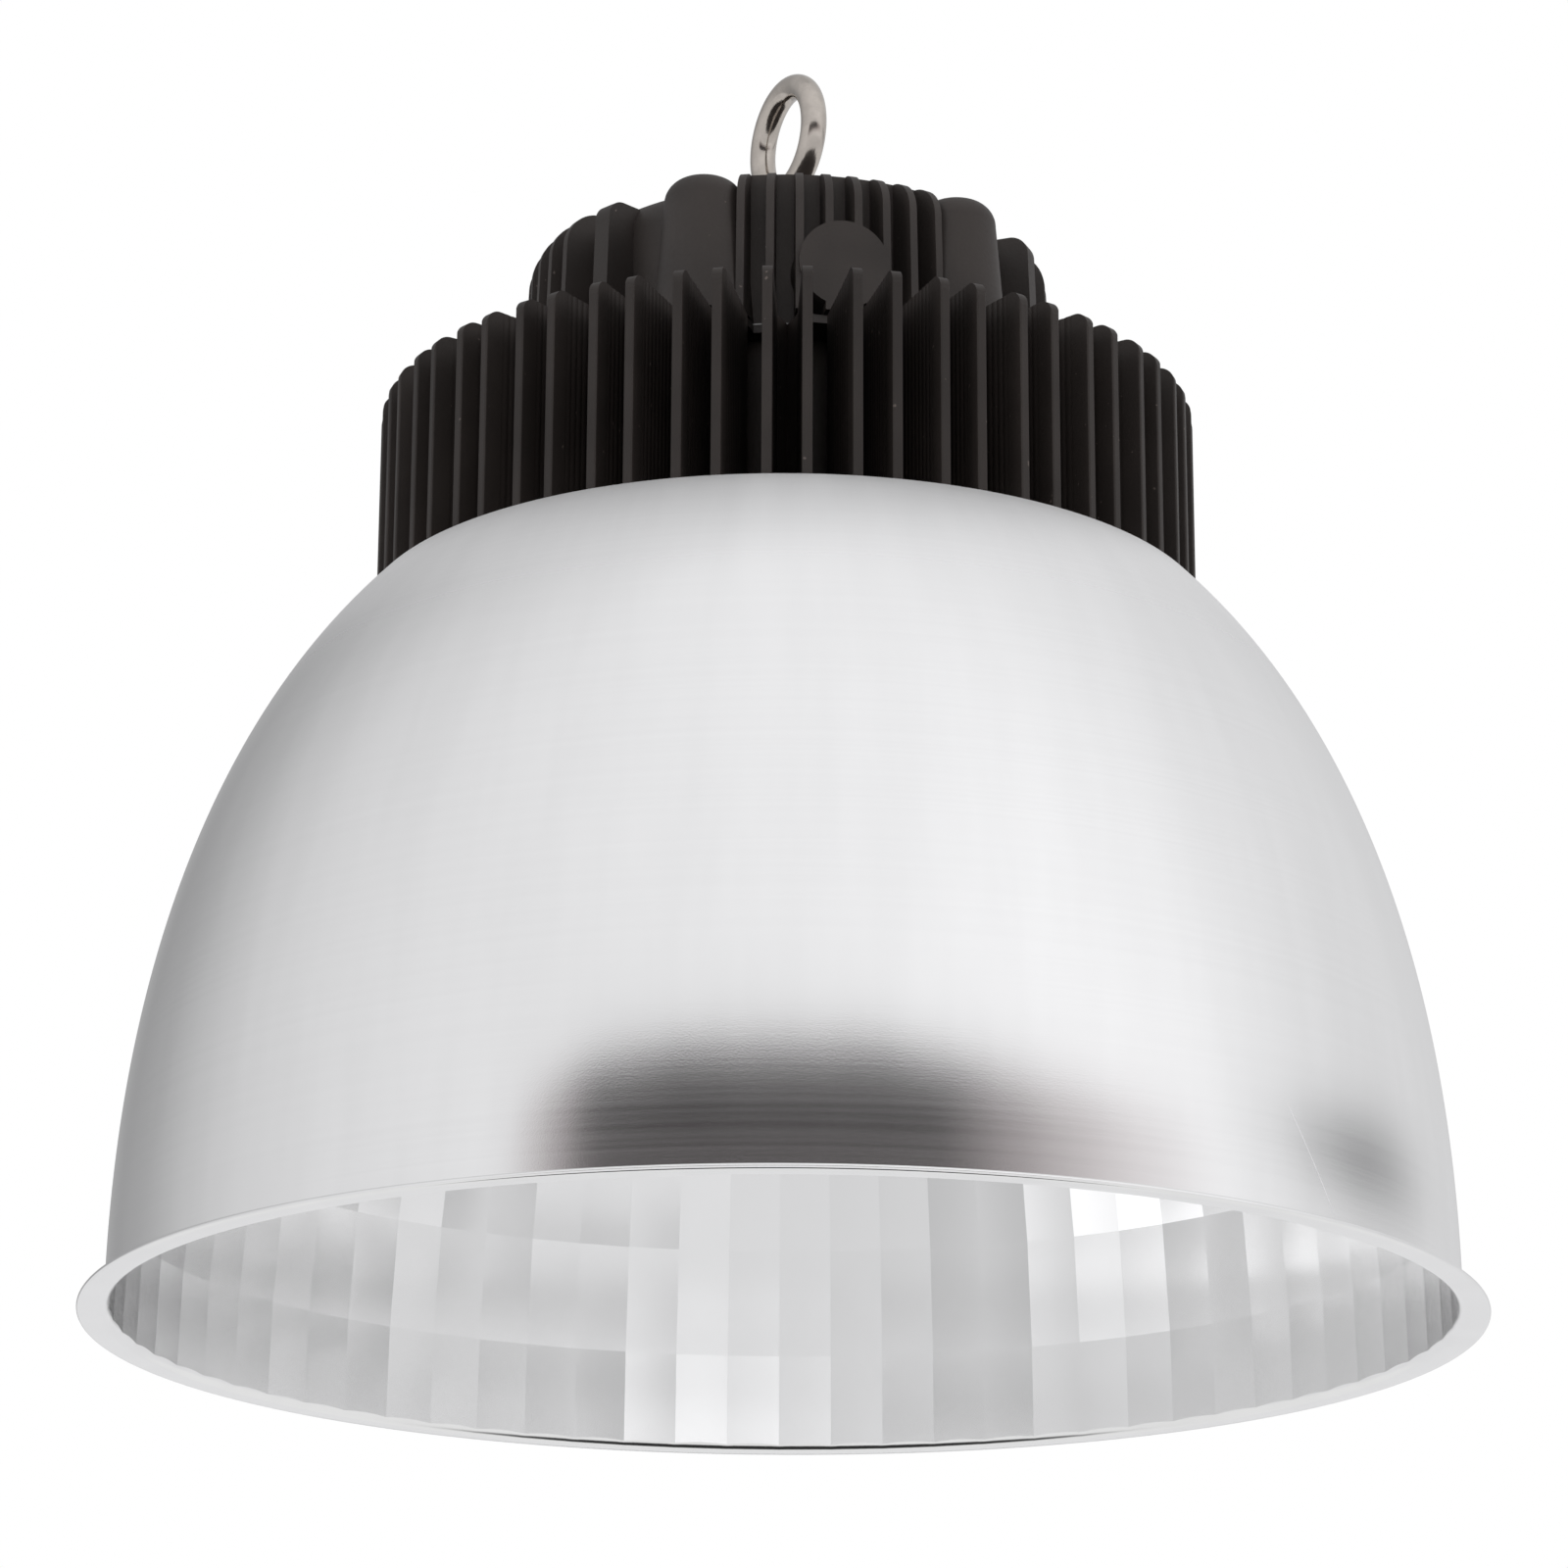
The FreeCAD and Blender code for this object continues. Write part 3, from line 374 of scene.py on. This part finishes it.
def startFinish(name):
    finish = bpy.data.materials.new(name)
    finish.use_nodes = True
    finish.node_tree.nodes.clear()
    start = Wire(finish.node_tree)
    place = start.node("ShaderNodeTexCoord", {}, {}, "Object")
    return finish, start, place


def endFinish(start, sockets):
    shader = start.node("ShaderNodeBsdfPrincipled", {}, sockets, "BSDF")
    start.node("ShaderNodeOutputMaterial", {}, {"Surface": shader}, None)


def split(start, place):
    return [start.node("ShaderNodeSeparateXYZ", {}, {0: place}, axis) for axis in "XYZ"]


# outside and outsideDull are the outside's colour on and off the painted sheen streaks and the ring lines
spun = {"outside": grey(0.885), "outsideDull": grey(0.845), "inside": grey(0.97), "insideDull": grey(0.9),
        "outsideRough": 0.155, "insideRough": 0.1, "toneRough": 0.05, "mottleRough": 0.04, "cloud": 14.0,
        "brow": (0.165, 0.216), "browRough": 0.34, "lines": 900.0, "linesAround": 0.6, "lineBump": 0.3,
        "grain": 2200.0, "grainBump": 1.2, "bumpStrength": 0.3, "bumpDepth": 0.00002,
        "lineRange": (0.3, 0.7), "sheenAround": 11.0, "sheenUp": 9.0, "sheenShare": 0.7,
        "sheenRange": (0.25, 0.75), "scratchTurn": -1.027, "scratchSlant": 3.3,
        "scratchFoot": (0.004, 0.008), "scratchHead": (0.03, 0.034), "scratchWidth": (0.0001, 0.0003),
        "scratchRough": 0.35}


def spunAluminium():
    # satin outside with fine rings about the axis and faint upright streaks of painted sheen in its colour,
    # bright flat facets inside
    finish, start, place = startFinish("spunAluminium")
    x, y, z = split(start, place)
    radius = start.math("SQRT", x * x + y * y)
    aheadX, aheadY = x / radius, y / radius
    along = z - radius                                       # grows up the section, so lines ring the axis
    wide = spun["linesAround"]
    ringPlace = start.combine(aheadX * wide, aheadY * wide, along * spun["lines"])
    rings = start.noise(ringPlace, 1.0, 3.0, 0.6)
    # painted sheen: faint upright streaks that stand in for the streaky highlights of the spun finish
    wide = spun["sheenAround"]
    sheenPlace = start.combine(aheadX * wide, aheadY * wide, z * spun["sheenUp"])
    sheenStreaks = start.noise(sheenPlace, 1.0, 3.0, 0.55)
    cloud = start.noise(place, spun["cloud"], 3.0)
    grain = start.noise(place, spun["grain"])
    inside, tone = start.attribute("inside", "Fac"), start.attribute("tone", "Fac")
    # one long scratch: a thin line whose angle about the axis runs evenly with height
    course = spun["scratchTurn"] + (spun["scratchHead"][1] - z) * spun["scratchSlant"]
    off = start.math("ABSOLUTE", start.math("ARCTAN2", y, x) - course) * radius
    ends = z.between(*spun["scratchFoot"]) * (1 - z.between(*spun["scratchHead"]))
    scratch = (1 - off.between(*spun["scratchWidth"])) * ends
    brow = z.between(*spun["brow"])                          # the spinning ends rougher under the heat sink
    mottle = (rings - 0.5) * spun["mottleRough"] + (cloud - 0.5) * spun["mottleRough"]
    outsideRough = spun["outsideRough"] + brow * spun["browRough"] + scratch * spun["scratchRough"] + mottle
    insideRough = spun["insideRough"] + tone * spun["toneRough"]
    rough = outsideRough * (1 - inside) + insideRough * inside
    # the base colour is lighter along the painted sheen streaks, and along the ring lines, which are the spin
    # lines' own tone
    sheenAndRings = sheenStreaks.between(*spun["sheenRange"]) * spun["sheenShare"]
    sheenAndRings = sheenAndRings + rings.between(*spun["lineRange"]) * (1 - spun["sheenShare"])
    outsideColour = start.colour(sheenAndRings, spun["outsideDull"], spun["outside"])
    insideColour = start.colour(tone, spun["insideDull"], spun["inside"])
    height = (rings * spun["lineBump"] + grain * spun["grainBump"]) * (1 - inside)
    endFinish(start, {"Base Color": start.colour(inside, outsideColour, insideColour), "Metallic": 1.0,
                      "Roughness": rough,
                      "Normal": start.bump(height, spun["bumpStrength"], spun["bumpDepth"])})
    return finish


blackLook = {"cloud": 35.0, "cloudRange": (0.3, 0.7), "cloudDepth": 0.15, "speckScale": 420.0,
             "specks": (0.77, 0.8), "speckPale": 4, "roughVary": 0.15, "bumpStrength": 0.25,
             "bumpDepth": 0.0002}


def blackFinish(name, level, warm, rough, grain, gloss):
    # matte black with a fine grain, faint clouding and a few pale specks of dust
    finish, start, place = startFinish(name)
    fine = start.noise(place, grain, 3.0, 0.6)
    cloud = start.noise(place, blackLook["cloud"]).between(*blackLook["cloudRange"])
    specks = start.noise(place, blackLook["speckScale"], 1.0).between(*blackLook["specks"])
    depth = blackLook["cloudDepth"]
    base = start.colour(cloud, grey(level * (1 - depth), warm), grey(level * (1 + depth), warm))
    dust = grey(level * blackLook["speckPale"], warm)
    endFinish(start, {"Base Color": start.colour(specks, base, dust), "Specular IOR Level": gloss,
                      "Roughness": rough + (fine - 0.5) * blackLook["roughVary"],
                      "Normal": start.bump(fine, blackLook["bumpStrength"], blackLook["bumpDepth"])})
    return finish


metalLook = {"dull": 0.88, "patchRange": (0.35, 0.65), "patchVary": 0.12, "scratchAcross": 60.0,
             "scratchUp": 900.0, "scratchVary": 0.08, "bumpStrength": 0.1, "bumpDepth": 0.0001}


def metalFinish(name, colour, rough, scale):
    # bare or plated metal: its shine varies in soft patches and fine scratches
    finish, start, place = startFinish(name)
    patch = start.noise(place, scale, 3.0)
    x, y, z = split(start, place)
    wide, tall = metalLook["scratchAcross"], metalLook["scratchUp"]
    scratch = start.noise(start.combine(x * wide, y * wide, z * tall), 1.0)
    varied = (patch - 0.5) * metalLook["patchVary"] + (scratch - 0.5) * metalLook["scratchVary"]
    base = start.colour(patch.between(*metalLook["patchRange"]), darker(colour, metalLook["dull"]), colour)
    endFinish(start, {"Base Color": base, "Metallic": 1.0, "Roughness": rough + varied,
                      "Normal": start.bump(scratch, metalLook["bumpStrength"], metalLook["bumpDepth"])})
    return finish


mouldLook = {"mottle": 60.0, "mottleRange": (0.3, 0.7), "deep": 0.85, "roughVary": 0.1, "bumpStrength": 0.2}


def mouldedFinish(name, colour, rough, grain, depth):
    # moulded plastic, rubber or ceramic: a faint grain and slight mottling
    finish, start, place = startFinish(name)
    fine = start.noise(place, grain)
    mottle = start.noise(place, mouldLook["mottle"]).between(*mouldLook["mottleRange"])
    endFinish(start, {"Base Color": start.colour(mottle, darker(colour, mouldLook["deep"]), colour),
                      "Roughness": rough + (fine - 0.5) * mouldLook["roughVary"],
                      "Normal": start.bump(fine, mouldLook["bumpStrength"], depth)})
    return finish


glassLook = {"colour": (0.95, 0.97, 0.96, 1.0), "bend": 1.5, "smearScale": 30.0, "smears": (0.55, 0.8),
             "smearRough": 0.08}


def clearGlass():
    # clear, with faint smears that are a little rougher
    finish, start, place = startFinish("clearGlass")
    smears = start.noise(place, glassLook["smearScale"], 3.0).between(*glassLook["smears"])
    endFinish(start, {"Base Color": glassLook["colour"], "IOR": glassLook["bend"],
                      "Transmission Weight": 1.0, "Roughness": smears * glassLook["smearRough"]})
    return finish


# each finish by its slot in the record: the black ones' level, warmth, roughness, grain and gloss
blacks = {"black_anodised": ("blackAnodised", 0.019, 0.24, 0.5, 1500.0, 0.25),
          "black_casting": ("blackCasting", 0.021, 0.24, 0.56, 900.0, 0.35),
          "black_plate": ("blackPlate", 0.021, 0.2, 0.5, 1200.0, 0.35)}
# metals: colour, roughness and the scale of the patches
metals = {"bright_steel": ("brightSteel", (0.54, 0.495, 0.45, 1.0), 0.17, 220.0),
          "zinc_steel": ("zincSteel", (0.62, 0.63, 0.64, 1.0), 0.32, 300.0),
          "plain_aluminium": ("turnedAluminium", (0.8, 0.8, 0.81, 1.0), 0.28, 120.0),
          "driver_case": ("driverCase", (0.6, 0.6, 0.62, 1.0), 0.42, 90.0)}
# moulded ones: colour, roughness, the scale of the grain and its depth
moulded = {"grey_silicone": ("greySilicone", (0.35, 0.35, 0.35, 1.0), 0.6, 900.0, 0.0002),
           "black_rubber": ("blackRubber", (0.04, 0.04, 0.04, 1.0), 0.65, 900.0, 0.0003),
           "black_nylon": ("blackNylon", (0.035, 0.034, 0.034, 1.0), 0.45, 1100.0, 0.0002),
           "white_nylon": ("whiteNylon", (0.82, 0.82, 0.8, 1.0), 0.45, 1100.0, 0.0001),
           "red_wire": ("redWire", (0.5, 0.03, 0.03, 1.0), 0.35, 700.0, 0.0001),
           "black_wire": ("blackWire", (0.03, 0.03, 0.03, 1.0), 0.35, 700.0, 0.0001),
           "white_ceramic": ("whiteCeramic", (0.85, 0.85, 0.84, 1.0), 0.25, 1500.0, 0.00005),
           "phosphor": ("phosphor", (0.85, 0.66, 0.14, 1.0), 0.5, 2500.0, 0.0002)}


def makeFinishes():
    finishes = {"spun_aluminium": spunAluminium(), "clear_glass": clearGlass()}
    for family, make in ((blacks, blackFinish), (metals, metalFinish), (moulded, mouldedFinish)):
        finishes.update({slot: make(*look) for slot, look in family.items()})
    return finishes


def applyFinishes(finishes, pieces):
    for part in frame["record"]["subparts"]:
        mesh = frame["nodes"][part["node"]].data
        mesh.materials.clear()
        mesh.materials.append(finishes[part["material_slot"]])
    for piece, slot in pieces:
        piece.data.materials.append(finishes[slot])
    print("finishes:", len(finishes))


# Studio

cameraSet = {"lens": 119.4, "sensor": 36.0, "distance": 1.4965, "below": 0.3057, "azimuth": -12.0,
             "pitch": 17.54, "yaw": -0.018, "roll": 0.23, "clipEnd": 200}


def placeFrom(axes, spot):
    # the columns of axes are an object's own x, y and z, and spot is where it stands
    return Matrix([[*row, offset] for row, offset in zip(axes, spot)] + [[0, 0, 0, 1]])


def addCamera():
    # stands at its azimuth from -Y, below the rim, and looks up by its pitch
    turns = ("azimuth", "pitch", "yaw", "roll")
    azimuth, pitch, yaw, roll = [math.radians(cameraSet[key]) for key in turns]
    heading, distance = azimuth - yaw, cameraSet["distance"]
    level = math.cos(pitch)
    ahead = np.array([-math.sin(heading) * level, math.cos(heading) * level, math.sin(pitch)])
    right = np.cross(ahead, [0, 0, 1])
    right /= np.linalg.norm(right)
    up = np.cross(right, ahead)
    across = math.cos(roll) * right + math.sin(roll) * up
    upright = math.cos(roll) * up - math.sin(roll) * right
    spot = [distance * math.sin(azimuth), -distance * math.cos(azimuth), -cameraSet["below"]]
    lens = bpy.data.cameras.new("photoCamera")
    lens.lens, lens.sensor_width = cameraSet["lens"], cameraSet["sensor"]
    lens.clip_end = cameraSet["clipEnd"]
    camera = bpy.data.objects.new("photoCamera", lens)
    camera.matrix_world = placeFrom(np.stack([across, upright, -ahead], 1), spot)
    bpy.context.scene.collection.objects.link(camera)
    bpy.context.scene.camera = camera


lamps = {"keyLamp": {"spot": (2.3, -1.6, 1.6), "aim": (0, 0, 0.2), "size": 1.6, "power": 30},
         "fillLamp": {"spot": (-2.4, -1.2, 1.2), "aim": (0, 0, 0.2), "size": 1.6, "power": 18},
         "frontLamp": {"spot": (-0.5, -2.4, 0.7), "aim": (0, 0, 0.25), "size": 1.0, "power": 10}}


def addLamp(name, spot, aim, size, power):
    # a round soft lamp that faces its aim and isn't mirrored itself
    light = bpy.data.lights.new(name, "AREA")
    light.shape, light.size, light.energy = "DISK", size, power
    lamp = bpy.data.objects.new(name, light)
    direction = np.array(aim, float) - np.array(spot, float)
    direction /= np.linalg.norm(direction)
    side = np.cross(direction, [0, 0, 1.0])
    side /= np.linalg.norm(side)
    lamp.matrix_world = placeFrom(np.stack([side, np.cross(side, direction), -direction], 1), spot)
    lamp.visible_glossy = False
    bpy.context.scene.collection.objects.link(lamp)


studio = {"ambient": 0.55, "floor": -1.2, "floorHalf": 60.0, "floorTones": (0.82, 0.86), "floorMottle": 3.0,
          "floorPale": 0.55, "floorFade": (2.0, 24.0), "floorMirrored": 0.86, "mat": 0.03,
          "matEdge": (0.5, 0.75), "tentRadius": 3.0, "tentTop": 89.5, "tentColumns": 240, "tentRows": 120,
          "glossyBounces": 12}


def addWorld():
    # white where the camera, metal and glass look, a plain level of light for everything else
    world = bpy.data.worlds.new("studioWorld")
    world.use_nodes = True
    world.node_tree.nodes.clear()
    bpy.context.scene.world = world
    start = Wire(world.node_tree)
    rays = start.ray("Is Camera Ray") + start.ray("Is Glossy Ray") + start.ray("Is Transmission Ray")
    strength = studio["ambient"] + start.math("MINIMUM", rays, 1.0) * (1 - studio["ambient"])
    sky = start.node("ShaderNodeBackground", {}, {"Color": grey(1.0), "Strength": strength})
    start.node("ShaderNodeOutputWorld", {}, {"Surface": sky}, None)


def stagePiece(name, points, quads, finish):
    mesh = bpy.data.meshes.new(name)
    mesh.from_pydata(points.tolist(), [], quads.tolist())
    mesh.materials.append(finish)
    piece = bpy.data.objects.new(name, mesh)
    bpy.context.scene.collection.objects.link(piece)
    return piece


def addFloor():
    # pale and matte with the object's shadow, fading to white far off, and clear from underneath; metal and
    # glass show it plain, with a dark round mat below the light, which the far rim's lip shows as a dark line
    finish, start, place = startFinish("paleFloor")
    first, second = [grey(tone) for tone in studio["floorTones"]]
    mottle = start.noise(place, studio["floorMottle"])
    matte = start.node("ShaderNodeBsdfDiffuse", {}, {"Color": start.colour(mottle, first, second)})
    kinds = ("Is Camera Ray", "Is Glossy Ray", "Is Transmission Ray")
    camera, glossy, through = [start.ray(kind) for kind in kinds]
    x, y = split(start, place)[:2]
    distance = start.math("SQRT", x * x + y * y)
    offMat = distance.between(*studio["matEdge"])
    mirrored = start.colour(offMat, grey(studio["mat"]), grey(studio["floorMirrored"]))
    white = start.node("ShaderNodeEmission", {}, {"Color": start.colour(camera, mirrored, grey(1.0))})
    pale = studio["floorPale"] + distance.between(*studio["floorFade"]) * (1 - studio["floorPale"])
    share = start.math("MAXIMUM", camera * pale, start.math("MAXIMUM", glossy, through))
    upper = start.node("ShaderNodeMixShader", {}, {0: share, 1: matte, 2: white})
    under = start.node("ShaderNodeNewGeometry", {}, {}, "Backfacing")
    clear = start.node("ShaderNodeBsdfTransparent", {}, {})
    shown = start.node("ShaderNodeMixShader", {}, {0: under, 1: upper, 2: clear})
    start.node("ShaderNodeOutputMaterial", {}, {"Surface": shown}, None)
    half, level = studio["floorHalf"], studio["floor"]
    plan = np.array([[-half, -half], [half, -half], [half, half], [-half, half]])
    stagePiece("floor", withHeight(plan, level), np.array([[0, 1, 2, 3]]), finish)


# angles in degrees from the camera's side and heights in degrees; a ramp is its start and its span
tentCloth = {
    "sideAngle": [-180, -150, -132, -116, -99, -80, -60, -45, -20, 0, 20, 45, 69, 90, 116, 132, 180],
    "sideGlow": [0.5, 0.34, 0.41, 0.57, 0.71, 0.78, 0.83, 0.87, 0.92, 0.95, 1.0, 1.06, 1.02, 0.88, 0.77,
                 0.76, 0.6],
    "lowAngle": [-180, -150, -132, -116, -106, -97, -86, -60, -45, -20, 0, 20, 45, 69, 90, 110, 130, 180],
    "lowGlow": [0.8, 0.84, 0.88, 1.0, 1.02, 1.06, 1.06, 0.96, 0.87, 0.88, 1.06, 1.2, 1.4, 1.12, 0.7, 0.55,
                0.74, 0.78],
    "topAngle": [-180, -110, -50, 0, 50, 110, 180],
    "topGlow": [0.6, 0.66, 0.88, 0.93, 0.92, 0.84, 0.6],
    "highRamp": (25, 50), "lowRamp": (2, -5), "skirt": 0.8,
    "openAngle": [-45, -39, -31, -17, 14, 30, 40, 60, 75],
    "openTop": [16.0, 18.2, 20.0, 21.3, 21.4, 20.0, 19.0, 17.5, 16.5],
    "openLeft": (-45, 14), "openRight": (75, -50), "openFoot": (4, 8), "opening": 0.028, "openWarm": 0.14,
    "bar": 0.72, "barAngle": 109, "barWide": 19, "barRise": 15.6, "barFrom": 106, "barSlant": 0.04,
    "barTall": 1.9, "bandLeft": (-140, 10), "bandRight": (-50, -10), "bandFoot": (-15, 0.9),
    "bandTop": (-8.8, -0.9), "bandDark": 0.6, "cool": 1.012, "deepRays": (1.2, 1.8)}


def tentLevels(angle, rise):
    # brightness by angle and height: the side's level runs into the top's above and the skirt's below, less
    # a dark opening in front and a soft slanting bar on the right, which is a bell curve of angle and height
    cloth, overhead, foot = [np.interp(angle, tentCloth[key + "Angle"], tentCloth[key + "Glow"])
                             for key in ("side", "top", "low")]
    high, low = ramp(rise, *tentCloth["highRamp"]), ramp(rise, *tentCloth["lowRamp"])
    upper = (cloth * (1 - high) + overhead * high) * (1 - low)
    edge = np.interp(angle, tentCloth["openAngle"], tentCloth["openTop"])
    dark = ramp(angle, *tentCloth["openLeft"]) * ramp(angle, *tentCloth["openRight"])
    dark = dark * ramp(edge - rise, 0, 1) * ramp(rise, *tentCloth["openFoot"])
    slant = tentCloth["barRise"] - (angle - tentCloth["barFrom"]) * tentCloth["barSlant"]
    aside = (angle - tentCloth["barAngle"]) / tentCloth["barWide"]
    bar = tentCloth["bar"] * np.exp(-aside ** 2 - ((rise - slant) / tentCloth["barTall"]) ** 2)
    lit, unlit = (1 - dark) * (1 - bar), tentCloth["opening"] * dark
    plain = (upper + tentCloth["skirt"] * low) * lit + unlit
    # light that has gone round inside the bell meets a skirt of upright bands, darker low on the left
    band = ramp(angle, *tentCloth["bandLeft"]) * ramp(angle, *tentCloth["bandRight"])
    band = band * ramp(rise, *tentCloth["bandFoot"]) * ramp(rise, *tentCloth["bandTop"])
    deep = (upper + foot * (1 - tentCloth["bandDark"] * band) * low) * lit + unlit
    return plain, deep, dark


def addTent():
    # a round tent of pale cloth that only shiny surfaces show, a sphere cut off by the floor
    columns, rows, radius = studio["tentColumns"], studio["tentRows"], studio["tentRadius"]
    angle = np.linspace(-180, 180, columns, endpoint=False)[None]
    rise = np.linspace(np.degrees(np.arcsin(studio["floor"] / radius)), studio["tentTop"], rows)[:, None]
    heading, climb = np.radians(angle + cameraSet["azimuth"]), np.radians(rise)
    level = radius * np.cos(climb)
    plan = np.stack([level * np.sin(heading), -level * np.cos(heading)], -1)
    points = withHeight(plan, (radius * np.sin(climb))[..., None]).reshape(-1, 3)
    finish, start = startFinish("tentCloth")[:2]
    deeper = start.ray("Ray Depth").between(*tentCloth["deepRays"])
    light = start.colour(deeper, start.attribute("plain", "Color"), start.attribute("deep", "Color"))
    glowing = start.node("ShaderNodeEmission", {}, {"Color": light, "Strength": 1.0})
    start.node("ShaderNodeOutputMaterial", {}, {"Surface": glowing}, None)
    tent = stagePiece("tent", points, gridQuads(rows, columns, closeColumns=True), finish)
    plain, deep, dark = tentLevels(angle, rise)
    for key, glow in (("plain", plain), ("deep", deep)):
        warmed, cooled = glow * (1 + tentCloth["openWarm"] * dark), glow * tentCloth["cool"]
        tint = np.stack([warmed, glow, cooled, np.ones_like(glow)], -1)
        layer = tent.data.attributes.new(key, "FLOAT_COLOR", "POINT")
        layer.data.foreach_set("color", tint.astype(np.float32).ravel())
    tent.visible_camera = tent.visible_diffuse = tent.visible_shadow = tent.visible_transmission = False


reflectorBell = makeReflector()
heatSinkFins = makeHeatSink()
hangingEye = makeEye()
applyFinishes(makeFinishes(), [(reflectorBell, "spun_aluminium"), (heatSinkFins, "black_anodised"),
                               (hangingEye, "bright_steel")])
addCamera()
addWorld()
addFloor()
addTent()
for lampName, lampSet in lamps.items():
    addLamp(lampName, **lampSet)
bpy.context.scene.view_settings.view_transform = "Standard"
bpy.context.scene.cycles.glossy_bounces = studio["glossyBounces"]    # light goes round inside the bell
print("studio set")
